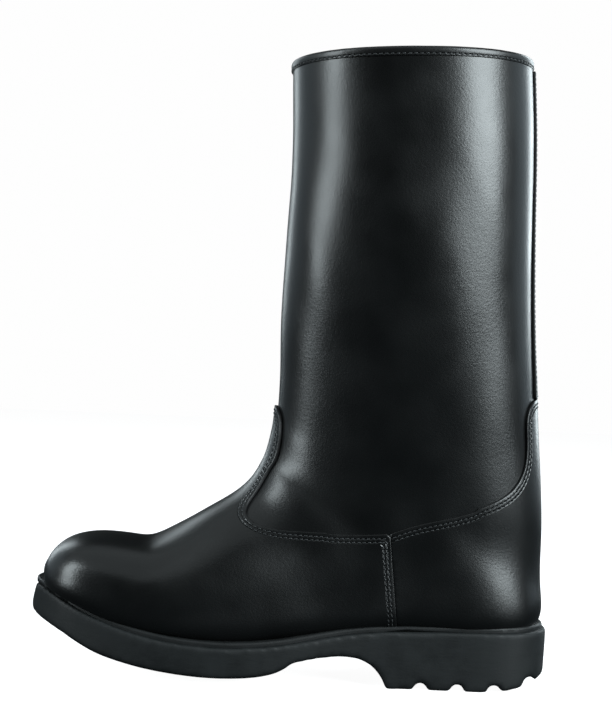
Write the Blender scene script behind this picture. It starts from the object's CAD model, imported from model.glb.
# %% [markdown]
# # A leather fire boot
# The boot stands on a pale floor under soft studio lights. Its rigid parts come from a packed
# engineering model, which is loaded first. Everything soft is modelled here around it, in metres,
# with the toe along -X, the outer side of the foot along -Y and the floor at Z = 0.

# %% Load the fixed frame
import math
import random

import bmesh
import bpy
import numpy as np
from mathutils import Matrix, Vector, kdtree, noise
from mathutils.bvhtree import BVHTree


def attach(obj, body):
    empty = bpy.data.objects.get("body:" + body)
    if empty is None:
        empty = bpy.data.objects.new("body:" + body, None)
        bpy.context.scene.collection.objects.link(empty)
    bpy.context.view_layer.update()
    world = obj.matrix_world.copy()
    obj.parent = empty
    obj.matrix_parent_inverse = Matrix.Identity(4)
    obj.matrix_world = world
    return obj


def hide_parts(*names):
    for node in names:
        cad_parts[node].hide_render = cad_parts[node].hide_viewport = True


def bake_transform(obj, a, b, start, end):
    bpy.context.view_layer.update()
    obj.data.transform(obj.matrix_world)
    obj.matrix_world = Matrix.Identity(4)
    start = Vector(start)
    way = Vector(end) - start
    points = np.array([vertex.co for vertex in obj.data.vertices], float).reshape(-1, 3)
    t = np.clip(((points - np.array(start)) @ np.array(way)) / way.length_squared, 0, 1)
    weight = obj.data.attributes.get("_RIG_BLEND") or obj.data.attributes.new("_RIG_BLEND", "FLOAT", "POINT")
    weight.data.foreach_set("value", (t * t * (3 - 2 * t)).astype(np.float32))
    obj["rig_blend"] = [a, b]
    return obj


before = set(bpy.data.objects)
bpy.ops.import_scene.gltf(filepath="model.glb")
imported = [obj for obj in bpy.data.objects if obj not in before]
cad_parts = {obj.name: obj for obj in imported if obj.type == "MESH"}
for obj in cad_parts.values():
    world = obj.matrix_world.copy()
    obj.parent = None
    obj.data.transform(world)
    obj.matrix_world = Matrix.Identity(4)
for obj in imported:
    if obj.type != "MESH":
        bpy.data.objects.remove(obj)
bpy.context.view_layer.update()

MM = 0.001
WELDED = 2e-6                             # vertices closer than this, in metres, are one
random.seed(11)


def placed(name, data):
    """A new object in the scene, at the origin, that shows the given data."""
    made = bpy.data.objects.new(name, data)
    bpy.context.scene.collection.objects.link(made)
    return made


def set_inputs(node, **values):
    """Sets a node's sockets by name, with _ for a space, and returns the node."""
    for key, value in values.items():
        node.inputs[key.replace("_", " ")].default_value = value
    return node


# %% [markdown]
# ## The camera
# A long lens from about a metre keeps the boot's proportions true. The camera looks straight along
# +Y at the outer side, from a little above the ankle, and is turned slightly about its own axis.

# %% Camera
camera_data = bpy.data.cameras.new("camera")
camera_data.lens = 81.85
camera_data.sensor_width = 36.0
camera_data.sensor_fit = "AUTO"
camera_data.clip_start = 0.01
camera = placed("camera", camera_data)
camera.location = (0.0036, -0.975, 0.1858)
CAMERA_ROLL = math.radians(2.5)
level = Matrix.Rotation(math.radians(90), 4, "X")
camera.rotation_euler = (level @ Matrix.Rotation(CAMERA_ROLL, 4, "Z")).to_euler()
bpy.context.scene.camera = camera
print("camera with a lens of", camera_data.lens, "mm at", tuple(camera.location))

# %% [markdown]
# ## Floor, backdrop light and soft boxes
# Black polished leather shows nothing but what it reflects. Two tall soft boxes, one at each side
# and a little in front, draw the long soft highlights on the shaft, and the space between them
# stays dark. Dim walls and narrow strips behind the boot draw its edges and its rear, and a weak box
# overhead fills the toe and the instep. The camera sees a white floor and backdrop, but every other
# ray meets a nearly black one, or the leather would mirror the white and turn grey.

# %% Lights and floor
def soft_box(name, place, aim, width, height, watts, tint=(1.0, 1.0, 1.0)):
    """A rectangular area light at place, facing the point aim."""
    data = bpy.data.lights.new(name, "AREA")
    data.shape = "RECTANGLE"
    data.size, data.size_y = width, height
    data.energy = watts
    data.color = tint
    light = placed(name, data)
    light.location = place
    light.rotation_euler = (Vector(aim) - Vector(place)).to_track_quat("-Z", "Y").to_euler()
    return light


def around(azimuth, distance, height):
    """A point at an azimuth in degrees from the camera's side, positive towards the heel."""
    turn = math.radians(azimuth)
    return (0.03 + distance * math.sin(turn), -distance * math.cos(turn), height)


def camera_or_other(tree, seen, unseen, surface):
    """Gives the camera one shader and every other ray another."""
    path = tree.nodes.new("ShaderNodeLightPath")
    either = tree.nodes.new("ShaderNodeMixShader")
    tree.links.new(path.outputs["Is Camera Ray"], either.inputs[0])
    tree.links.new(unseen.outputs[0], either.inputs[1])
    tree.links.new(seen.outputs[0], either.inputs[2])
    tree.links.new(either.outputs[0], surface)


AIM = (0.03, 0.0, 0.20)
COOL, COLD = (0.87, 0.97, 1.0), (0.76, 0.91, 1.0)
soft_box("box_heel_side", around(52, 1.6, 0.88), AIM, 0.95, 1.30, 56, COOL)
soft_box("box_toe_side", around(-66, 1.7, 0.76), AIM, 0.62, 1.60, 26, COOL)
soft_box("wall_heel_side", around(124, 2.0, 0.80), AIM, 2.4, 1.5, 9.0, COLD)
soft_box("wall_toe_side", around(-122, 2.0, 0.80), AIM, 2.4, 1.5, 5.5, COLD)
soft_box("box_top", (-0.20, -0.10, 1.6), AIM, 2.2, 2.0, 6.5, COOL)
soft_box("strip_heel_rear", around(142, 1.8, 0.75), AIM, 0.5, 1.3, 11, COOL)
soft_box("strip_toe_rear", around(-146, 1.8, 0.75), AIM, 0.35, 1.1, 3.5, COOL)

world = bpy.data.worlds.new("studio")
bpy.context.scene.world = world
world.use_nodes = True
wn = world.node_tree.nodes
wn.clear()
seen = set_inputs(wn.new("ShaderNodeBackground"), Color=(1.0, 1.0, 1.0, 1.0), Strength=0.99)
glow = set_inputs(wn.new("ShaderNodeBackground"), Color=(0.92, 0.96, 1.0, 1.0), Strength=0.008)
camera_or_other(world.node_tree, seen, glow, wn.new("ShaderNodeOutputWorld").inputs[0])

bm = bmesh.new()
bmesh.ops.create_grid(bm, x_segments=2, y_segments=2, size=4.0)
floor_mesh = bpy.data.meshes.new("floor")
bm.to_mesh(floor_mesh)
bm.free()
floor = placed("floor", floor_mesh)
floor_paint = bpy.data.materials.new("pale_floor")
floor_paint.use_nodes = True
fn = floor_paint.node_tree.nodes
paint = set_inputs(fn["Principled BSDF"], Base_Color=(0.45, 0.46, 0.47, 1.0), Roughness=0.9,
                   Specular_IOR_Level=0.1, Emission_Color=(1.0, 1.0, 1.0, 1.0), Emission_Strength=0.96)
muted = set_inputs(fn.new("ShaderNodeBsdfDiffuse"), Color=(0.035, 0.038, 0.040, 1.0))
camera_or_other(floor_paint.node_tree, paint, muted, fn["Material Output"].inputs["Surface"])
floor_mesh.materials.append(floor_paint)

# %% [markdown]
# ## The lasted form
# A boot upper is pulled over a last, a solid foot-and-leg form. Every leather piece here lies on one
# such form, so the form is written down once, as rings from the toe over the instep and up the
# shaft. A point of the form is found from two numbers: how far around the ring, and how far along.

# %% Rings of the form
# Front or upper end (x, z), rear or lower end (x, z), outer half width, inner half width, share of
# the ring below its widest line, roundness of its lower and of its upper half; all in millimetres.
RINGS = [
    ((-142.6, 60.0), (-143.0, 50.6), 10.0, 10.0, 0.48, 2.4, 2.2),
    ((-138.8, 66.6), (-141.0, 48.0), 24.0, 25.0, 0.44, 3.4, 2.2),
    ((-131.5, 72.6), (-135.0, 44.6), 34.6, 36.6, 0.41, 5.5, 2.2),
    ((-119.0, 76.2), (-122.0, 39.8), 42.8, 45.3, 0.40, 6.5, 2.2),
    ((-102.0, 76.0), (-104.0, 32.8), 47.3, 49.8, 0.40, 6.5, 2.2),
    ((-85.0, 75.8), (-82.0, 27.6), 49.5, 51.5, 0.40, 7.0, 2.1),
    ((-67.0, 83.5), (-56.0, 23.7), 50.5, 50.5, 0.40, 7.0, 2.0),
    ((-50.0, 94.0), (-28.0, 23.1), 49.0, 46.5, 0.40, 7.0, 2.0),
    ((-35.0, 103.5), (2.0, 26.1), 45.0, 41.5, 0.41, 7.0, 2.0),
    ((-24.5, 113.5), (40.0, 31.3), 40.5, 37.5, 0.42, 7.0, 2.0),
    ((-18.2, 124.5), (92.0, 32.6), 38.8, 37.8, 0.44, 7.0, 2.1),
    ((-14.8, 135.0), (134.0, 32.6), 38.4, 37.9, 0.47, 5.0, 2.1),
    ((-13.2, 143.0), (145.2, 38.6), 38.6, 38.2, 0.48, 3.2, 2.2),
    ((-12.2, 151.5), (146.9, 57.0), 39.0, 38.6, 0.49, 2.45, 2.2),
    ((-11.7, 168.0), (145.8, 92.0), 41.0, 40.6, 0.50, 2.4, 2.2),
    ((-12.1, 190.0), (142.2, 140.0), 44.6, 44.4, 0.50, 2.3, 2.2),
    ((-12.2, 217.0), (137.6, 194.0), 49.6, 49.6, 0.50, 2.2, 2.2),
    ((-11.3, 256.0), (134.9, 250.0), 54.2, 54.2, 0.50, 2.2, 2.2),
    ((-10.2, 308.0), (132.9, 310.0), 56.8, 56.8, 0.50, 2.2, 2.2),
    ((-11.6, 360.4), (130.0, 366.5), 57.5, 57.5, 0.50, 2.2, 2.2),
]
RING_POINTS = 32
OUTER, SHAFT, LINING = 2.2, 2.2, 1.6      # leather thicknesses in millimetres


def ring_points(ring):
    """Points at equal distances around one ring, from its lowest point along the inner side."""
    (tx, tz), (bx, bz), outer, inner, share, lower, upper = ring
    top, bottom = np.array((tx, 0.0, tz)), np.array((bx, 0.0, bz))
    length = np.linalg.norm(top - bottom)
    along = (top - bottom) / length
    middle = bottom + along * share * length
    found = []
    for start, width in ((-math.pi / 2, inner), (math.pi / 2, outer)):
        angle = start + np.linspace(0.0, math.pi, 601)
        c, s = np.cos(angle), np.sin(angle)
        power = np.where(s >= 0, upper, lower)
        reach = np.where(s >= 0, (1 - share) * length, share * length)
        y = width * np.sign(c) * np.abs(c) ** (2 / power)
        r = reach * np.sign(s) * np.abs(s) ** (2 / power)
        line = middle + along * r[:, None] + np.array((0.0, 1.0, 0.0)) * y[:, None]
        reached = np.concatenate(([0.0], np.cumsum(np.linalg.norm(np.diff(line, axis=0), axis=1))))
        wanted = reached[-1] * np.arange(RING_POINTS // 2) / (RING_POINTS // 2)
        found.append(np.stack([np.interp(wanted, reached, line[:, i]) for i in range(3)], axis=1))
    return np.concatenate(found)


def spline_rows(knots, values, wanted):
    """Natural cubic spline through values (one row per knot), read at the wanted places."""
    knots, values = np.asarray(knots, float), np.asarray(values, float)
    n, gap = len(knots), np.diff(knots)
    system = np.eye(n)
    right = np.zeros((n,) + values.shape[1:])
    for i in range(1, n - 1):
        system[i, i - 1:i + 2] = gap[i - 1], 2 * (gap[i - 1] + gap[i]), gap[i]
        right[i] = 6 * ((values[i + 1] - values[i]) / gap[i] - (values[i] - values[i - 1]) / gap[i - 1])
    bend = np.linalg.solve(system, right.reshape(n, -1)).reshape(right.shape)
    at = np.clip(np.searchsorted(knots, wanted) - 1, 0, n - 2)
    h = gap[at][:, None]
    a = (knots[at + 1] - wanted)[:, None] / h
    b = 1 - a
    flat = values.reshape(n, -1)
    flex = bend.reshape(n, -1)
    out = (a * flat[at] + b * flat[at + 1] +
           ((a ** 3 - a) * flex[at] + (b ** 3 - b) * flex[at + 1]) * h ** 2 / 6)
    return out.reshape((len(wanted),) + values.shape[1:])


ring_grid = np.stack([ring_points(ring) for ring in RINGS])
STEPS = np.concatenate(([0.0], np.cumsum(np.linalg.norm(np.diff(ring_grid, axis=0), axis=2).mean(axis=1))))
print("form:", ring_grid.shape, "length", round(STEPS[-1], 1), "mm")

# %% [markdown]
# The dense form below is sampled once. Dents that a hand can feel but hardly see are pushed into
# it, because perfectly smooth leather looks like plastic. They fade out at the collar and at the
# sole, where the leather is held. A small dome of shrinking rings closes the form at the toe.

# %% Dense form with its gentle dents
AROUND, ALONG, DOME = 208, 290, 5


def gentle_dents(points):
    """Outward move in millimetres of each point of the form."""
    moved = np.zeros(len(points))
    for i, (x, y, z) in enumerate(points):
        tall = noise.noise(Vector((x * 0.016 + 3.1, y * 0.020, z * 0.0065)))
        small = noise.noise(Vector((x * 0.045, y * 0.045 + 7.7, z * 0.022)))
        slanting = noise.noise(Vector(((x + 0.45 * z) * 0.026, y * 0.026 + 1.3, z * 0.017)))
        shaft_share = min(max((z - 120.0) / 60.0, 0.0), 1.0)
        held = min(max((368.0 - z) / 70.0, 0.0), 1.0)
        foot_share = min(max((z - 45.0) / 30.0, 0.0), 1.0) * (1 - shaft_share)
        moved[i] = (shaft_share * held * (1.0 * tall + 0.25 * small + 0.75 * slanting) +
                    foot_share * (0.45 * small + 0.2 * tall))
    # the rear edge of the hard toe cap shows as a shallow dip across the vamp
    behind_cap = points[:, 0] - (-85.0 - 0.16 * (76.0 - points[:, 2]))
    over = np.clip((points[:, 2] - 52.0) / 14.0, 0.0, 1.0)
    moved -= 0.40 * over * np.exp(-((behind_cap - 2.0) / 8.0) ** 2)
    moved += 0.20 * over * np.exp(-((behind_cap + 11.0) / 9.0) ** 2)
    return moved


along_places = np.linspace(0.0, STEPS[-1], ALONG)
lengthways = spline_rows(STEPS, ring_grid, along_places)
LAP = 8
wrapped = np.concatenate((lengthways[:, -LAP:], lengthways, lengthways[:, :LAP]), axis=1).transpose(1, 0, 2)
around_places = np.arange(AROUND) * RING_POINTS / AROUND
dense = spline_rows(np.arange(-LAP, RING_POINTS + LAP), wrapped, around_places).transpose(1, 0, 2)


def form_normals(grid):
    """Outward normals of a grid of points that closes around its second axis."""
    sideways = np.roll(grid, -1, axis=1) - np.roll(grid, 1, axis=1)
    onward = np.gradient(grid, axis=0)
    normal = np.cross(sideways, onward)
    normal /= np.linalg.norm(normal, axis=2, keepdims=True) + 1e-12
    outward = grid - grid.mean(axis=1, keepdims=True)
    return normal * np.sign((normal * outward).sum(axis=2, keepdims=True) + 1e-9)


dense_normal = form_normals(dense)
dents = gentle_dents(dense.reshape(-1, 3)).reshape(ALONG, AROUND)
dense = dense + dense_normal * dents[:, :, None]
toe_ring, toe_middle = dense[0], dense[0].mean(axis=0)
shrink = np.cos(np.linspace(math.pi / 2, 0.0, DOME + 1)[:-1])
DOME_HIGH = 1.2                           # millimetres
dome = [toe_middle + (toe_ring - toe_middle) * s - np.array((DOME_HIGH * math.sqrt(1 - s * s), 0, 0))
        for s in shrink]
dense = np.concatenate((np.stack(dome), dense))
dense_normal = form_normals(dense)
dense_normal[0] = (-1.0, 0.0, 0.0)
print("dents from", round(dents.min(), 2), "to", round(dents.max(), 2), "mm")


def net(columns, rows, place):
    """A flat grid whose vertices move to place(column, row) in millimetres, with its seams merged."""
    bm = bmesh.new()
    bmesh.ops.create_grid(bm, x_segments=columns, y_segments=rows, size=1.0)
    for v in bm.verts:
        v.co = place(round((v.co.x + 1) / 2 * columns), round((v.co.y + 1) / 2 * rows)) * MM
    bmesh.ops.remove_doubles(bm, verts=bm.verts, dist=WELDED)
    return bm


def form_tube(offset, skip=1):
    """The form at an offset in millimetres, as a net that closes around it."""
    points = (dense + dense_normal * offset)[::skip, ::skip]
    rows, columns = points.shape[:2]
    bm = net(columns, rows - 1, lambda i, j: points[j, i % columns])
    bm.faces.ensure_lookup_table()
    side = max(bm.faces, key=lambda f: f.calc_center_median().y)
    side.normal_update()
    if side.normal.y < 0:
        bmesh.ops.reverse_faces(bm, faces=bm.faces)
    return bm


# %% [markdown]
# ## Cutting leather to a line
# A cutter lays the pattern on the hide and cuts along a line. Here the pattern is a function that
# is negative inside the piece and positive outside. Where an edge of the net crosses zero, either
# its near end is slid onto the line or the edge is split there, so the cut is smooth and leaves no
# thin slivers. A boolean would do it too, but it tears a single-sided net.

# %% The cutter
def points_of(verts):
    """Places of vertices in millimetres."""
    return np.array([v.co for v in verts]) / MM


def cut_to(bm, outside):
    """Keeps the part of an open surface where outside(points in mm) is negative."""
    cut = bm.verts.layers.float.get("cut") or bm.verts.layers.float.new("cut")
    for v, value in zip(bm.verts, outside(points_of(bm.verts))):
        v[cut] = value
    nearest = {}
    for e in bm.edges:
        a, b = e.verts
        if a[cut] * b[cut] < 0:
            share = a[cut] / (a[cut] - b[cut])
            for v, s in ((a, share), (b, 1 - share)):
                if s < 0.3 and s * e.calc_length() < nearest.get(v, (9, None))[0]:
                    nearest[v] = (s * e.calc_length(), a.co.lerp(b.co, share))
    for v, (_, place) in nearest.items():
        v.co = place
        v[cut] = 0.0
    crossing = {}
    for e in bm.edges:
        a, b = e.verts
        if a[cut] * b[cut] < 0:
            crossing[e] = a[cut] / (a[cut] - b[cut])
    made = bmesh.ops.bisect_edges(bm, edges=list(crossing), cuts=1, edge_percents=crossing)
    for item in made["geom_split"]:
        if isinstance(item, bmesh.types.BMVert):
            item[cut] = 0.0
    bmesh.ops.connect_verts(bm, verts=[v for v in bm.verts if v[cut] == 0.0])
    waste = [f for f in bm.faces if sum(v[cut] for v in f.verts) >= 0]
    bmesh.ops.delete(bm, geom=waste, context="FACES")
    bmesh.ops.delete(bm, geom=[v for v in bm.verts if not v.link_faces], context="VERTS")
    return bm


def smooth_line(points, count=160):
    """A smooth polyline through hand-set points of a pattern."""
    points = np.array(points, float)
    reached = np.concatenate(([0.0], np.cumsum(np.linalg.norm(np.diff(points, axis=0), axis=1))))
    return spline_rows(reached, points, np.linspace(0, reached[-1], count))


def pattern(line):
    """A function that gives signed distances in millimetres to a closed outline: negative inside."""
    a, b = line, np.roll(line, -1, axis=0)
    step = b - a
    length = (step ** 2).sum(axis=1) + 1e-12

    def distance(px, py):
        found = np.empty(len(px))
        for start in range(0, len(px), 4000):
            p = np.stack((px[start:start + 4000], py[start:start + 4000]), axis=1)[:, None, :]
            t = np.clip(((p - a) * step).sum(axis=2) / length, 0, 1)[:, :, None]
            away = np.sqrt((((a + step * t) - p) ** 2).sum(axis=2).min(axis=1))
            crosses = (a[:, 1] > p[:, :, 1]) != (b[:, 1] > p[:, :, 1])
            rise = np.where(step[:, 1] == 0, 1e-12, step[:, 1])
            at = a[:, 0] + (p[:, :, 1] - a[:, 1]) / rise * step[:, 0]
            inside = (crosses & (p[:, :, 0] < at)).sum(axis=1) % 2 == 1
            found[start:start + 4000] = np.where(inside, -away, away)
        return found

    return distance


def rounded_union(a, b, radius):
    """Distance to two shapes joined, with the inner corners between them rounded."""
    overlap = np.maximum(radius - np.abs(a - b), 0.0) / radius
    return np.minimum(a, b) - overlap * overlap * radius / 4


# %% [markdown]
# ## The patterns
# Five lines make this boot's upper: the seat line where leather meets the sole, the vamp's low edge
# and side seam, the tongue that runs up the instep, the counter's rising edge and its spur at the
# back. Each is a handful of points that a smooth curve passes through.

# %% Patterns
SEAT = np.array([(-160, 52.4), (-150, 51.6), (-141, 49.8), (-131, 45.8), (-113, 38.2), (-95, 32.2),
                 (-72, 27.2), (-50, 24.9), (-28, 24.7), (2, 27.7), (26, 32.2), (52, 35.2), (82, 36.3),
                 (112, 36.9), (160, 37.4)])
LOW_EDGE = [(-24, 86.2), (-14, 85.4), (2, 86), (20, 86.9), (40, 87.3), (56, 88.4)]
SEAM_FOOT = 63.4 + 4                      # x of the side seam, carried on below the floor
TONGUE_OUTER = [(-39.4, 83), (-38.8, 86.2), (-36.2, 90.2), (-31.6, 94.8), (-23.8, 102.4), (-19.4, 109),
                (-16.9, 118), (-16, 128), (-16.2, 138), (-15.2, 147), (-12.6, 153.6), (-7.4, 157.2),
                (0, 158.2)]
TONGUE_INNER = [(7.4, 157.2), (12.6, 153.6), (15.2, 147), (16.2, 138), (16, 128), (16.4, 118), (18.4, 109),
                (22, 102.4), (29, 94.8), (33.2, 90.2), (35.8, 86.2), (36.5, 83)]
COUNTER_EDGE = [(56, 88.4), (70, 93.6), (91, 99), (111, 105.6), (124, 111.5)]
SPUR_HALF = [(0, 168.6), (12, 168.2), (20, 165.6), (24.2, 160), (25.6, 150), (26, 138), (28.4, 126.5),
             (32.6, 116.4), (36.2, 109.6), (38.3, 105.4), (39.2, 103)]

vamp_low = pattern(np.concatenate((smooth_line(LOW_EDGE, 60),
                                   [(SEAM_FOOT, -10), (-220, -10), (-220, 86.2)])))
tongue = pattern(np.concatenate((smooth_line(TONGUE_OUTER + TONGUE_INNER), [(36.5, 60), (-39.4, 60)])))
counter_low = pattern(np.concatenate((smooth_line(COUNTER_EDGE, 60),
                                      [(200, 111.5), (200, -10), (SEAM_FOOT, -10)])))
spur_line = [(-y, z) for y, z in reversed(SPUR_HALF[1:])] + SPUR_HALF
spur = pattern(np.concatenate((smooth_line(spur_line), [(39.2, 60), (-39.2, 60)])))


def above_seat(points, sunk=0.0):
    """Negative above the seat line, where the upper meets the welt."""
    return np.interp(points[:, 0], SEAT[:, 0], SEAT[:, 1]) - sunk - points[:, 2]


def vamp_cut(points):
    """Negative on the vamp: its low part in side view, joined to the tongue in front view."""
    x, y, z = points.T
    front = np.where(x < 20, tongue(y, z), 40.0)
    return rounded_union(vamp_low(x, z), front, 4.0)


def counter_cut(points):
    """Negative on the counter cover: its low part in side view, joined to the spur in rear view."""
    x, y, z = points.T
    back = np.where(x > 106, spur(y, z), 40.0)
    return rounded_union(counter_low(x, z), back, 3.0)


def rim_height(x):
    """Height of the shaft's sloping top, higher at the back."""
    return 360.4 + (x + 11.6) * 6.1 / 141.6


def backstay_cut(points):
    """Negative on the backstay: a strip that narrows upwards, from the spur to below the rim."""
    x, y, z = points.T
    half = np.interp(z, (160, 190, 240, 290), (13.5, 12, 10, 9))
    strip = np.where(x > 60, np.abs(y) - half, 60.0)
    return np.maximum(np.maximum(strip, 0.15 - counter_cut(points)), z - rim_height(x) + 4.4)


print("patterns drawn")

# %% [markdown]
# ## Seams: finding the cut edge again
# Stitch rows, edge wear and the pressed channel beside an edge all follow the cut line. So the
# border of each cut piece is walked once, smoothed and kept, and every vertex of the piece gets an
# attribute with its distance to that border, which the leather's material reads.

# %% Edge walking
def resampled(line, spacing, closed=False):
    """Points at even spacing along a polyline."""
    line = np.concatenate((line, line[:1])) if closed else line
    reached = np.concatenate(([0.0], np.cumsum(np.linalg.norm(np.diff(line, axis=0), axis=1))))
    count = max(int(round(reached[-1] / spacing)), 2)
    wanted = np.linspace(0, reached[-1], count + 1)
    wanted = wanted[:-1] if closed else wanted
    return np.stack([np.interp(wanted, reached, line[:, i]) for i in range(3)], axis=1)


def softened(line, passes, closed=False):
    """A polyline with its small zigzags averaged away; open ends stay."""
    for _ in range(passes):
        middle = (np.roll(line, 1, axis=0) + line * 2 + np.roll(line, -1, axis=0)) / 4
        if not closed:
            middle[0], middle[-1] = line[0], line[-1]
        line = middle
    return line


def cut_lines(bm, keep):
    """Walks the freshly cut border and returns [(line in mm, closed)] of the stretches to keep."""
    cut = bm.verts.layers.float["cut"]
    border = {}
    for e in bm.edges:
        if len(e.link_faces) == 1 and all(v[cut] == 0.0 for v in e.verts):
            for v in e.verts:
                border.setdefault(v, []).append(e)
    lines, used = [], set()
    starts = [v for v in border if len(border[v]) == 1] + list(border)
    for start in starts:
        if start in used:
            continue
        walk, v = [start], start
        used.add(start)
        while True:
            onward = [e.other_vert(v) for e in border[v] if e.other_vert(v) not in used]
            if not onward:
                break
            v = onward[0]
            used.add(v)
            walk.append(v)
        closed = (len(walk) > 8 and len(border[start]) == 2 and
                  any(e.other_vert(v) is start for e in border[v]))
        if len(walk) < 6:
            continue
        line = softened(resampled(points_of(walk), 0.5, closed), 12, closed)
        kept = keep(line)
        if kept.all():
            lines.append((line, closed))
            continue
        if closed:
            first = int(np.argmin(kept))
            line, kept = np.roll(line, -first, axis=0), np.roll(kept, -first)
        changes = np.flatnonzero(np.diff(np.concatenate(([0], kept.astype(int), [0]))))
        lines += [(line[a:b], False) for a, b in zip(changes[::2], changes[1::2]) if b - a > 20]
    return lines


def distance_to_lines(points, lines):
    """Distance in millimetres from each point to the nearest cut line."""
    places = np.concatenate([line for line, _ in lines])
    tree = kdtree.KDTree(len(places))
    for i, place in enumerate(places):
        tree.insert(place, i)
    tree.balance()
    return np.array([tree.find(p)[2] for p in points])


def row_beside(line, closed, distance, surface, outside):
    """The line of a stitch row at a distance inside a cut line, level with the surface."""
    tangent = np.roll(line, -1, axis=0) - np.roll(line, 1, axis=0) if closed else np.gradient(line, axis=0)
    tangent /= np.linalg.norm(tangent, axis=1, keepdims=True)
    normal = np.array([surface.find_nearest(Vector(p) * MM)[1] for p in line])
    inward = np.cross(normal, tangent)
    inward /= np.linalg.norm(inward, axis=1, keepdims=True)
    better = outside(line + inward * 1.5) < outside(line - inward * 1.5)
    inward = inward * np.where(better.mean() > 0.5, 1.0, -1.0)
    return softened(line + inward * distance, 30, closed)


print("edge helpers ready")

# %% [markdown]
# ## Stitches
# A lockstitch shows as a short, slightly slanting bead of thread between two needle holes. Each
# bead is a small stretched ball of 40 faces; a row is hundreds of them, laid along the row's line and
# pressed a little into the leather.

# %% Stitch rows
def stitch_beads(name, rows, surface, pitch, length=0.74, wide=0.85, high=0.62, slant=7.0):
    """One piece with a thread bead every pitch millimetres along each row."""
    bm = bmesh.new()
    count = 0
    for line, closed in rows:
        places = resampled(line, pitch, closed)
        ahead = np.roll(places, -1, axis=0) - places
        if not closed:
            ahead[-1] = ahead[-2]
        for place, along in zip(places, ahead):
            spot, normal, _, _ = surface.find_nearest(Vector(place) * MM)
            forward = Vector(along) - normal * Vector(along).dot(normal)
            forward.normalize()
            side = normal.cross(forward)
            turn = Matrix((forward, side, normal)).transposed().to_4x4()
            lean = Matrix.Rotation(math.radians(slant + random.uniform(-3, 3)), 4, "Z")
            stretch = Matrix.Diagonal((pitch * length / 2 * MM, wide / 2 * MM, high / 2 * MM, 1.0))
            place_at = Matrix.Translation(spot + normal * 0.10 * MM)
            bmesh.ops.create_uvsphere(bm, u_segments=8, v_segments=5, radius=1.0,
                                      matrix=place_at @ turn @ lean @ stretch)
            count += 1
    print(name, count, "stitches")
    return object_from(name, bm)


def object_from(name, bm):
    """A smooth-shaded mesh object from a bmesh, with the place in its mesh."""
    mesh = bpy.data.meshes.new(name)
    for f in bm.faces:
        f.smooth = True
    bm.to_mesh(mesh)
    bm.free()
    return placed(name, mesh)


def edge_distance(made, lines):
    """Stores each vertex's distance to the piece's cut edges as the attribute edge_mm."""
    co = np.array([v.co for v in made.data.vertices]) / MM
    attribute = made.data.attributes.new("edge_mm", "FLOAT", "POINT")
    attribute.data.foreach_set("value", distance_to_lines(co, lines).astype(np.float32))


def thickness(made, millimetres, round_edge=0.4):
    """Gives a single-sided leather piece its thickness inwards and eases its cut edges."""
    wall = made.modifiers.new("thickness", "SOLIDIFY")
    wall.thickness = millimetres * MM
    wall.offset = -1.0
    wall.use_rim = True
    wall.material_offset = 1
    wall.material_offset_rim = 2
    if round_edge:
        ease = made.modifiers.new("eased_edge", "BEVEL")
        ease.width = round_edge * MM
        ease.segments = 2
        ease.profile = 0.5
        ease.limit_method = "ANGLE"
        ease.angle_limit = math.radians(55)
        ease.use_clamp_overlap = False


def finished(made, body, replaces=(), materials=()):
    """Rides the piece on its body and what it stands for, and paints it."""
    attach(made, body)
    if replaces:
        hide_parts(*replaces)
    for m in materials:
        made.data.materials.append(m)
    print(made.name, len(made.data.polygons), "faces")
    return made


print("stitch and piece helpers ready")

# %% [markdown]
# ## Finishes
# Every finish is built from procedural nodes in object coordinates, so it stays put on the piece.
# Small helpers keep each one short: a noise, a ramp that turns it into a range, and a bump.

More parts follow.
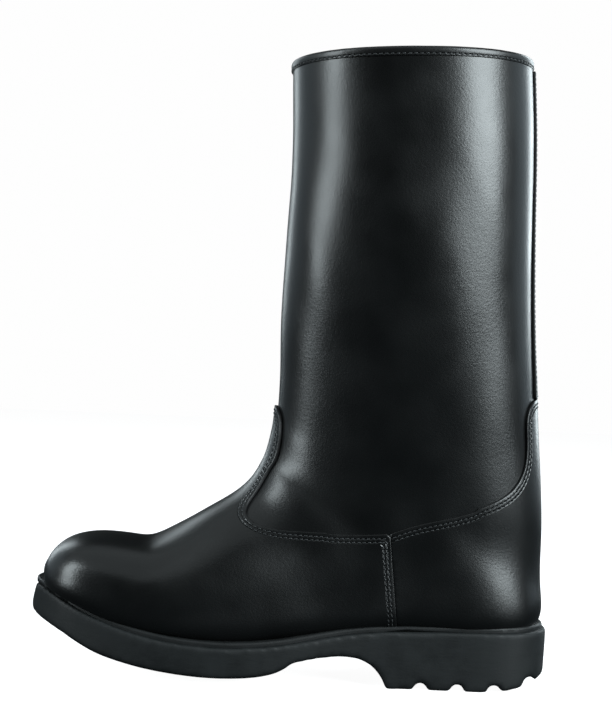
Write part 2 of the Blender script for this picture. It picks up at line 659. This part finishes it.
# %% Finish helpers
class Finish:
    """A material under construction: its node tree and the shader at its end."""

    def __init__(self, name, base, rough, **fixed):
        self.material = bpy.data.materials.new(name)
        self.material.use_nodes = True
        self.tree = self.material.node_tree
        self.shader = self.tree.nodes["Principled BSDF"]
        self.coords = self.add("ShaderNodeTexCoord").outputs["Object"]
        self.normal = None
        set_inputs(self.shader, Base_Color=(*base, 1.0), Roughness=rough, **fixed)
        self.material.diffuse_color = (*base, 1.0)

    def add(self, kind, **settings):
        node = self.tree.nodes.new(kind)
        for key, value in settings.items():
            setattr(node, key, value)
        return node

    def link(self, a, b):
        self.tree.links.new(a, b)

    def noise(self, scale, detail=3.0, rough=0.5, distortion=0.0, stretch=None):
        node = self.add("ShaderNodeTexNoise")
        self.link(self.stretched(stretch), node.inputs["Vector"])
        set_inputs(node, Scale=scale, Detail=detail, Roughness=rough, Distortion=distortion)
        return node.outputs["Fac"]

    def cells(self, scale, feature="F1"):
        node = self.add("ShaderNodeTexVoronoi", feature=feature)
        self.link(self.coords, node.inputs["Vector"])
        return set_inputs(node, Scale=scale).outputs["Distance"]

    def stretched(self, stretch):
        if stretch is None:
            return self.coords
        node = self.add("ShaderNodeMapping")
        self.link(self.coords, node.inputs["Vector"])
        return set_inputs(node, Scale=stretch).outputs["Vector"]

    def ranged(self, value, low, high, to_low, to_high):
        node = self.add("ShaderNodeMapRange", interpolation_type="SMOOTHSTEP")
        self.link(value, node.inputs["Value"])
        set_inputs(node, From_Min=low, From_Max=high, To_Min=to_low, To_Max=to_high)
        return node.outputs["Result"]

    def maths(self, operation, a, b):
        node = self.add("ShaderNodeMath", operation=operation)
        for socket, value in zip(node.inputs, (a, b)):
            if isinstance(value, (int, float)):
                socket.default_value = value
            else:
                self.link(value, socket)
        return node.outputs[0]

    def colour(self, value, *stops):
        node = self.add("ShaderNodeValToRGB")
        self.link(value, node.inputs["Fac"])
        ramp = node.color_ramp.elements
        while len(ramp) < len(stops):
            ramp.new(0.5)
        for element, (place, shade) in zip(ramp, stops):
            element.position = place
            element.color = (*shade, 1.0)
        self.link(node.outputs["Color"], self.shader.inputs["Base Color"])

    def rough(self, value, low, high, to_low, to_high):
        self.link(self.ranged(value, low, high, to_low, to_high), self.shader.inputs["Roughness"])

    def bump(self, height, distance, strength=1.0):
        node = set_inputs(self.add("ShaderNodeBump"), Distance=distance * MM, Strength=strength)
        self.link(height, node.inputs["Height"])
        if self.normal:
            self.link(self.normal, node.inputs["Normal"])
        self.normal = node.outputs["Normal"]
        self.link(self.normal, self.shader.inputs["Normal"])
        self.link(self.normal, self.shader.inputs["Coat Normal"])

    def attribute(self, name):
        return self.add("ShaderNodeAttribute", attribute_name=name).outputs["Fac"]


def shade(base, share):
    """A colour made darker or lighter by a share."""
    return tuple(min(c * share, 1.0) for c in base)


print("finish helpers ready")

# %% [markdown]
# ## Polished black leather
# Box calf is dyed through, plated smooth and polished. What the eye gets is a deep black with a soft
# sheen, fine pores that break the sheen up, and slightly duller patches. Beside a cut edge the
# leather is pressed into a channel by each row of stitches, and the edge itself is burnished.

# %% Leather finishes
def polished_leather(name, base=(0.0011, 0.0014, 0.0015), rough=0.33, channels=(2.4, 4.5)):
    f = Finish(name, base, rough, Specular_IOR_Level=0.5, Coat_Weight=0.25, Coat_Roughness=0.29,
               Coat_IOR=1.45)
    patches = f.noise(30.0, 2.0, 0.5)
    f.colour(patches, (0.0, shade(base, 0.6)), (1.0, shade(base, 1.4)))
    f.rough(patches, 0.25, 0.75, rough - 0.04, rough + 0.04)
    f.bump(f.noise(430.0, 4.0, 0.65), 0.11, 0.60)                            # fine break of the grain
    f.bump(f.cells(1000.0, "SMOOTH_F1"), 0.040, 0.8)                         # pores
    f.bump(f.noise(2600.0, 3.0, 0.6), 0.010, 0.5)                            # plated surface
    if channels:
        away = f.attribute("edge_mm")
        dip = None
        for middle in channels:
            off = f.maths("ABSOLUTE", f.maths("SUBTRACT", away, middle), 0.0)
            well = f.ranged(off, 0.0, 0.75, 0.0, 1.0)
            dip = well if dip is None else f.maths("MINIMUM", dip, well)
        f.bump(dip, 0.30, 1.0)
    return f.material


def cut_edge_leather(name):
    f = Finish(name, (0.004, 0.004, 0.0045), 0.5, Specular_IOR_Level=0.4)
    fibre = f.noise(1500.0, 4.0, 0.7, stretch=(1, 1, 0.3))
    f.colour(fibre, (0.2, (0.002, 0.002, 0.0025)), (0.9, (0.009, 0.009, 0.009)))
    f.bump(fibre, 0.06, 0.6)
    return f.material


def flesh_side(name, base=(0.030, 0.026, 0.024)):
    f = Finish(name, base, 0.9, Specular_IOR_Level=0.2)
    nap = f.noise(900.0, 5.0, 0.7)
    f.colour(nap, (0.3, shade(base, 0.6)), (0.7, shade(base, 1.5)))
    f.bump(nap, 0.08, 0.7)
    return f.material


def lining_leather(name):
    f = Finish(name, (0.30, 0.19, 0.11), 0.62, Specular_IOR_Level=0.35)
    cloud = f.noise(30.0, 5.0, 0.6)
    f.colour(cloud, (0.28, (0.30, 0.19, 0.105)), (0.55, (0.42, 0.28, 0.165)), (0.8, (0.50, 0.35, 0.22)))
    f.rough(cloud, 0.3, 0.7, 0.55, 0.72)
    f.bump(f.cells(800.0, "SMOOTH_F1"), 0.03, 0.6)
    f.bump(f.noise(160.0, 4.0, 0.6), 0.12, 0.4)
    return f.material


def thread(name, base=(0.014, 0.0155, 0.0165)):
    f = Finish(name, base, 0.45, Specular_IOR_Level=0.5)
    twist = f.noise(3000.0, 2.0, 0.5)
    f.colour(twist, (0.3, shade(base, 0.6)), (0.7, shade(base, 1.7)))
    f.bump(twist, 0.03, 0.5)
    return f.material


upper_finish = polished_leather("polished_upper_leather")
shaft_finish = polished_leather("polished_shaft_leather", channels=())
binding_finish = polished_leather("satin_binding_leather", (0.0016, 0.0018, 0.0019), 0.37, channels=(0.0,))
edge_finish = cut_edge_leather("burnished_cut_edge")
flesh_finish = flesh_side("black_flesh_side")
lining_finish = lining_leather("tan_lining_leather")
tan_edge_finish = flesh_side("tan_lining_edge", (0.30, 0.20, 0.12))
thread_finish = thread("waxed_black_thread")
print("leathers mixed")

# %% [markdown]
# ## The vamp
# One piece of leather covers the toe, the instep and the sides as far as the side seam, with a
# tongue running up the front of the shaft. It lies over the shaft and over the counter, so it is cut
# from the form at the outer offset. Two rows of stitches follow its edge.

# %% Vamp
STITCH_ROWS, PITCH = (2.4, 4.5), 3.0      # millimetres from the edge, and from stitch to stitch


def clear_of_seat(line):
    """True where a cut line is a real edge above the sole, not the seat."""
    return line[:, 2] > np.interp(line[:, 0], SEAT[:, 0], SEAT[:, 1]) + 0.8


def upper_piece(name, outside, offset, wall, nodes, rows=STITCH_ROWS, keep=clear_of_seat):
    """Cuts a leather piece from the form and stitches along its edges."""
    bm = form_tube(offset)
    cut_to(bm, outside)
    lines = cut_lines(bm, keep)
    cut_to(bm, lambda p: above_seat(p, 1.5))
    surface = BVHTree.FromBMesh(bm)
    made = object_from(name, bm)
    edge_distance(made, lines)
    thickness(made, wall)
    finished(made, "boot", nodes, (upper_finish, flesh_finish, edge_finish))
    beside = [(row_beside(line, closed, distance, surface, outside), closed)
              for distance in rows for line, closed in lines]
    beads = stitch_beads(name + "_stitches", beside, surface, PITCH, high=0.62 if len(rows) > 1 else 0.36)
    finished(beads, "boot", materials=(thread_finish,))
    print(name, "edges of", [round(len(line) / 2) for line, _ in lines], "mm")


upper_piece("vamp_leather", vamp_cut, OUTER, OUTER - 0.05, ("vamp",))

# %% [markdown]
# ## The counter cover
# The heel is wrapped by a second piece, whose edge climbs to a spur at the back where the boot is
# pulled off by hand. Its front edge disappears under the vamp, so it isn't stitched there.

# %% Counter cover
def counter_under_vamp(points):
    """The counter cover, ended where the vamp begins."""
    return np.maximum(counter_cut(points), 0.05 - vamp_cut(points))


def counter_keep(line):
    """True on the counter's own edge, away from the seat and the side seam."""
    return clear_of_seat(line) & (vamp_cut(line) > 0.8)


upper_piece("counter_leather", counter_under_vamp, OUTER - 0.5, OUTER - 0.55, ("counter_cover",),
            keep=counter_keep)

# %% [markdown]
# ## The backstay
# A narrow strip covers the seam at the back of the shaft, from the spur up to the collar. It stands
# proud of the shaft, with a row of stitches along each side.

# %% Backstay
def backstay_sides(line):
    """True on the strip's two long edges, not on its ends."""
    return (line[:, 2] < rim_height(line[:, 0]) - 5.4) & (np.abs(line[:, 1]) > 7.0)


upper_piece("backstay_leather", backstay_cut, 1.9, 1.8, ("backstay",), rows=(1.8,), keep=backstay_sides)

# %% [markdown]
# ## The shaft and its lining
# The shaft is one tall tube of the same leather. It continues a little below the edges of the vamp
# and counter, which lie over it. Inside, a thinner tan lining follows it.

# %% Shaft and linings
HIDDEN_LAP, SHAFT_FOOT, LINING_JOIN = 14.0, 62.0, 100.0   # millimetres


def tube_piece(name, offset, wall, nodes, materials, outside, skip=1):
    """A layer of the form, cut to a line and given its thickness, without stitches."""
    bm = form_tube(offset, skip)
    cut_to(bm, outside)
    made = object_from(name, bm)
    x, y = dense[-1, :, 0], dense[-1, :, 1]
    edge_distance(made, [(np.stack([x, y, rim_height(x)], axis=1), True)])
    thickness(made, wall, 0.0)
    return finished(made, "boot", nodes, materials)


def shaft_cut(points):
    """The shaft ends a hidden lap below the edges of the pieces that lie over it."""
    covered = np.maximum(-vamp_cut(points), -counter_cut(points))
    return np.maximum(SHAFT_FOOT - points[:, 2], covered - HIDDEN_LAP)


tube_piece("shaft_leather", 0.0, SHAFT - 0.1, ("shaft",),
           (shaft_finish, flesh_finish, edge_finish), shaft_cut)
LINED = (lining_finish, flesh_finish, tan_edge_finish)
tube_piece("shaft_lining_leather", -SHAFT, LINING - 0.1, ("shaft_lining",), LINED,
           lambda p: LINING_JOIN - p[:, 2], 2)
tube_piece("foot_lining_leather", -SHAFT - 0.3, LINING - 0.4, ("vamp_lining", "heel_lining"),
           LINED, lambda p: np.maximum(p[:, 2] - (LINING_JOIN - 0.5), above_seat(p)), 2)

# %% [markdown]
# ## The collar binding
# A band of softer leather is folded over the top edge and caught by one row of stitches just below
# the rim. Its section is an upside-down U, carried once around the collar on a closed net.

# %% Collar binding
# how far outwards and how far up each corner of the section lies from the shaft's rim, in millimetres
U_SECTION = [(0.10, -4.3), (0.35, -4.25), (0.60, -3.9), (0.66, -3.1), (0.92, -2.2), (1.05, -1.1),
             (0.95, 0.0), (0.45, 0.85), (-0.6, 1.35), (-1.9, 1.5), (-3.2, 1.35), (-4.25, 0.85),
             (-4.75, 0.0), (-4.85, -1.1), (-4.72, -2.2), (-4.46, -3.1), (-4.4, -3.9), (-4.15, -4.25),
             (-3.9, -4.3), (-3.85, -0.35), (-1.9, -0.2), (0.0, -0.35)]
STITCH_DROP, STITCH_OUT = -3.15, (0.65, -4.45)
rim_ring, rim_out = dense[-1], dense_normal[-1]
rim_up = dense[-1] - dense[-3]
rim_up = rim_up / np.linalg.norm(rim_up, axis=1, keepdims=True)


def binding_place(i, j):
    """A corner of the section at one place around the rim, with a faint ripple."""
    i = i % AROUND
    out_by, up_by = U_SECTION[j % len(U_SECTION)]
    ripple = 0.12 * noise.noise(Vector(rim_ring[i]) * 0.12)
    return rim_ring[i] + rim_out[i] * (out_by * (1 + ripple)) + rim_up[i] * (up_by + ripple)


bm = net(AROUND, len(U_SECTION), binding_place)
bmesh.ops.recalc_face_normals(bm, faces=bm.faces)
binding_surface = BVHTree.FromBMesh(bm)
binding = object_from("collar_binding_leather", bm)
soften = binding.modifiers.new("soften", "SUBSURF")
soften.levels = soften.render_levels = 1
stitch_lines = [(rim_ring + rim_out * out_by + rim_up * STITCH_DROP, True) for out_by in STITCH_OUT]
edge_distance(binding, stitch_lines)
finished(binding, "boot", ("collar_binding",), (binding_finish,))
for side_name, line in zip(("outer", "inner"), stitch_lines):
    beads = stitch_beads("collar_stitches_" + side_name, [line], binding_surface, 3.3, 0.66, 0.95)
    finished(beads, "boot", materials=(thread_finish,))

# %% [markdown]
# ## Pull loops
# A loop of webbing hangs inside the collar on each side, to pull the boot on. Its tape is sewn to the
# lining on a pad, folds over at the top and hangs as a teardrop. The loop swings up on that fold, so
# the loop rides on its own body, and the short fold bends between the two.

# %% Woven webbing
def webbing(name, base=(0.016, 0.016, 0.018)):
    f = Finish(name, base, 0.75, Specular_IOR_Level=0.3, Sheen_Weight=0.25, Sheen_Roughness=0.5)
    threads = []
    for direction, scale, distortion in (("X", 180.0, 0.6), ("Z", 260.0, 0.4)):
        wave = f.add("ShaderNodeTexWave", wave_type="BANDS", bands_direction=direction, wave_profile="SIN")
        f.link(f.coords, wave.inputs["Vector"])
        threads.append(set_inputs(wave, Scale=scale, Distortion=distortion).outputs["Fac"])
    weave = f.maths("MULTIPLY", *threads)
    f.colour(weave, (0.1, shade(base, 0.45)), (0.7, shade(base, 2.0)))
    f.bump(weave, 0.25, 0.8)
    f.bump(f.noise(2200.0, 3.0, 0.6), 0.04, 0.5)
    return f.material


webbing_finish = webbing("woven_webbing")
LOOP_X, HINGE_Y, LOOP_Z = 60.0, 49.0, 349.0      # the loops' hinges, in millimetres
TAPE_WIDE, TAPE_THICK, COLUMNS = 22.0, 1.3, 12


def ribbon(name, line, wide, thick, closed=False):
    """A woven tape of the given width along X, swept along a line of (y, z) points."""
    bm = net(COLUMNS, len(line) if closed else len(line) - 1,
             lambda i, j: np.array((LOOP_X + (i / COLUMNS - 0.5) * wide, *line[j % len(line)])))
    bmesh.ops.recalc_face_normals(bm, faces=bm.faces)
    bmesh.ops.solidify(bm, geom=bm.faces[:], thickness=thick * MM)
    bmesh.ops.recalc_face_normals(bm, faces=bm.faces)
    made = object_from(name, bm)
    edge = made.modifiers.new("selvedge", "BEVEL")
    edge.width, edge.segments, edge.profile = 0.35 * MM, 2, 0.5
    edge.limit_method, edge.angle_limit = "ANGLE", math.radians(55)
    return made


TEARDROP = [(-0.2, 0.3), (-0.75, -4.0), (-0.8, -12.0), (-0.8, -20.0), (-0.8, -32.0), (-0.4, -41.0),
            (1.4, -45.2), (3.6, -46.2), (6.4, -44.6), (8.6, -40.0), (8.6, -34.0), (7.4, -27.0),
            (5.0, -17.5), (2.4, -10.0), (0.9, -4.0)]
for side_name, side in (("outer", -1), ("inner", 1)):
    curve = smooth_line([(u, 0.0, v) for u, v in TEARDROP + TEARDROP[:1]], 60)[:-1]
    line = [(side * HINGE_Y - side * u, LOOP_Z + v) for u, _, v in curve]
    loop = ribbon("pull_loop_webbing_" + side_name, line, TAPE_WIDE, TAPE_THICK, closed=True)
    finished(loop, side_name + "_loop", ("pull_loop_" + side_name,), (webbing_finish,))
    pad_y = side * 51.6
    patch = ribbon("pull_loop_patch_" + side_name,
                   [(pad_y, LOOP_Z - 23.5 + 24.5 * i / 10) for i in range(11)], TAPE_WIDE + 2, 1.9)
    finished(patch, "boot", ("pull_loop_anchor_" + side_name,), (webbing_finish,))
    fold = ribbon("pull_loop_fold_" + side_name,
                  [(side * (50.55 + 1.15 * math.cos(a)), LOOP_Z + 0.2 + 1.1 * math.sin(a))
                   for a in np.linspace(0, math.pi, 13)], TAPE_WIDE, 0.7)
    fold.data.materials.append(webbing_finish)
    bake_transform(fold, "boot", side_name + "_loop", start=(0.06, side * 0.0517, LOOP_Z * MM),
             end=(0.06, side * 0.0494, LOOP_Z * MM))
    patch_surface = BVHTree.FromObject(patch, bpy.context.evaluated_depsgraph_get())
    square = np.array([(LOOP_X + dx, side * 50.3, LOOP_Z + dz)
                       for dx, dz in ((-8, -21), (8, -21), (8, -4), (-8, -4))], float)
    rows = [(square, True), (square[::2], False), (square[1::2], False)]
    beads = stitch_beads("pull_loop_stitches_" + side_name, rows, patch_surface, 2.4)
    finished(beads, "boot", materials=(thread_finish,))

# %% [markdown]
# ## Rubber, steel, felt and board
# The sole is a moulded nitrile rubber: almost black, matte, faintly mottled, with a slightly rough
# skin. The layers hidden inside get the finish of their own stuff too, because the boot can be taken
# apart in other views.

# %% Sole and inner finishes
def rubber(name, base, rough=0.62, grain=0.06):
    f = Finish(name, base, rough, Specular_IOR_Level=0.34)
    cloud = f.noise(55.0, 6.0, 0.65)
    f.colour(cloud, (0.30, shade(base, 0.75)), (0.72, shade(base, 1.35)))
    f.rough(cloud, 0.3, 0.7, rough - 0.08, rough + 0.08)
    f.bump(f.noise(240.0, 4.0, 0.6, stretch=(0.4, 0.4, 1.6)), grain * 2.5, 0.6)
    f.bump(f.noise(1400.0, 4.0, 0.65), grain, 0.7)
    return f.material


def felt(name, base):
    f = Finish(name, base, 0.92, Specular_IOR_Level=0.15, Sheen_Weight=0.3, Sheen_Roughness=0.6)
    fibre = f.noise(700.0, 6.0, 0.75, 1.5)
    f.colour(fibre, (0.3, shade(base, 0.65)), (0.7, shade(base, 1.4)))
    f.bump(fibre, 0.2, 0.8)
    return f.material


def board(name, base):
    f = Finish(name, base, 0.8, Specular_IOR_Level=0.25)
    fleck = f.noise(420.0, 5.0, 0.7, stretch=(1, 2.5, 1))
    f.colour(fleck, (0.32, shade(base, 0.7)), (0.68, shade(base, 1.25)))
    f.bump(fleck, 0.08, 0.6)
    return f.material


def steel(name, base, rough, metal=1.0):
    f = Finish(name, base, rough, Metallic=metal, Specular_IOR_Level=0.5)
    brushed = f.noise(500.0, 4.0, 0.6, stretch=(0.05, 1, 1))
    f.rough(brushed, 0.3, 0.7, rough - 0.08, rough + 0.1)
    f.colour(brushed, (0.3, shade(base, 0.85)), (0.7, shade(base, 1.1)))
    f.bump(brushed, 0.02, 0.5)
    return f.material


def foam(name, base):
    f = Finish(name, base, 0.85, Specular_IOR_Level=0.2)
    pores = f.cells(900.0)
    f.colour(pores, (0.1, shade(base, 0.5)), (0.5, shade(base, 1.2)))
    f.bump(pores, 0.15, 0.7)
    return f.material


rubber_finish = rubber("matte_sole_rubber", (0.0044, 0.0058, 0.0063))
print("sole and inner finishes mixed")

# %% [markdown]
# ## The welt
# The welt is the narrow strip that the upper stands on. The engineering solid has sharp edges, so a
# merged copy stands for it, and the edge around its top is rounded with a bevel. Its flat faces are
# dissolved first, because a bevel runs cleanly only between large faces.

# %% Welt with a rounded rim
RIM_LOW, RIM_HIGH, RIM_ROUND = 2.5, 3.6, 1.6      # millimetres


def above_sole_top(v):
    """Height of a vertex over the sole's top edge, in millimetres."""
    return v.co.z / MM - (np.interp(v.co.x / MM, SEAT[:, 0], SEAT[:, 1]) - 3.0)


def rim_edges(bm):
    """The sharp edges around the top of the welt."""
    return [e for e in bm.edges if e.calc_face_angle(0.0) > math.radians(35) and
            all(RIM_LOW < above_sole_top(v) < RIM_HIGH for v in e.verts)]


bm = bmesh.new()
bm.from_mesh(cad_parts["welt"].data)
bmesh.ops.remove_doubles(bm, verts=bm.verts, dist=WELDED)
bmesh.ops.dissolve_limit(bm, angle_limit=math.radians(1.5), verts=bm.verts, edges=bm.edges)
bmesh.ops.remove_doubles(bm, verts=list({v for e in rim_edges(bm) for v in e.verts}), dist=1.5 * MM)
rim = rim_edges(bm)
bmesh.ops.bevel(bm, geom=rim, offset=RIM_ROUND * MM, offset_type="OFFSET", segments=4, profile=0.5,
                affect="EDGES", clamp_overlap=False, material=-1)
bmesh.ops.triangulate(bm, faces=[f for f in bm.faces if len(f.verts) > 4])
print("rounded", len(rim), "edges")
welt = object_from("welt_rubber", bm)
welt.data.set_sharp_from_angle(angle=math.radians(32))
even = welt.modifiers.new("even_shading", "WEIGHTED_NORMAL")
even.keep_sharp = True
welt_finish = rubber("satin_welt_strip", (0.0030, 0.0038, 0.0041), 0.56, 0.04)
finished(welt, "boot", ("welt",), (welt_finish,))

# %% [markdown]
# ## The moulded sole
# A rubber sole comes out of its mould with every edge a little rounded. It has too many edges that
# meet at odd angles for a bevel: the rim, the heel breast, the grooves and the tread. So a copy of the
# solid is recast as small even faces, a little over a millimetre wide, and their corners are smoothed.

# %% Outsole recast and smoothed
VOXEL, ROUNDS = 1.15, 7                   # face size in millimetres, and rounds of smoothing
outsole = placed("outsole_rubber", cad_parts["outsole"].data.copy())
weld = outsole.modifiers.new("weld", "WELD")
weld.merge_threshold = WELDED
cast = outsole.modifiers.new("cast", "REMESH")
cast.mode, cast.voxel_size, cast.adaptivity = "VOXEL", VOXEL * MM, 0.0
recast = outsole.evaluated_get(bpy.context.evaluated_depsgraph_get())
moulded = bpy.data.meshes.new_from_object(recast)
outsole.modifiers.clear()
bm = bmesh.new()
bm.from_mesh(moulded)
for _ in range(ROUNDS):
    bmesh.ops.smooth_vert(bm, verts=bm.verts, factor=0.5, use_axis_x=True, use_axis_y=True,
                          use_axis_z=True)
for f in bm.faces:
    f.smooth = True
    f.material_index = 0
moulded.materials.clear()
bm.to_mesh(moulded)
bm.free()
moulded.name = "outsole_rubber_moulded"
outsole.data = moulded
finished(outsole, "boot", ("outsole",), (rubber_finish,))

# %% [markdown]
# ## The layers inside
# Eleven parts stay as the engineering model has them, because they are hidden or nearly so. Each one
# gets only a material of its own.

# %% Inner finishes
INSIDE = {
    "midsole": rubber("midsole_rubber", (0.010, 0.010, 0.010)),
    "heel_core": foam("heel_core_foam", (0.12, 0.12, 0.12)),
    "bottom_filler": felt("filler_felt", (0.22, 0.17, 0.12)),
    "shank": steel("sprung_shank_steel", (0.45, 0.46, 0.48), 0.32),
    "puncture_plate": steel("plate_steel", (0.50, 0.51, 0.52), 0.36),
    "insole_board": board("fibre_insole_board", (0.38, 0.30, 0.20)),
    "footbed": felt("footbed_felt", (0.10, 0.10, 0.11)),
    "toe_cap": steel("lacquered_cap_steel", (0.05, 0.05, 0.055), 0.4, 0.7),
    "toe_cap_edge_strip": rubber("soft_cap_edge", (0.03, 0.03, 0.03), 0.7),
    "vamp_interlining": felt("interlining_felt", (0.35, 0.33, 0.30)),
    "heel_stiffener": board("heel_stiffener_board", (0.40, 0.36, 0.30)),
}
for node_name, finish in INSIDE.items():
    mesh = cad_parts[node_name].data
    mesh.materials.clear()
    mesh.materials.append(finish)
print("painted", len(INSIDE), "carried-over parts")

# %% [markdown]
# The visual model has to stay in the engineering model's box. Both boxes are written down.

# %% Sizes, and the end
bpy.context.scene.view_settings.view_transform = "Standard"
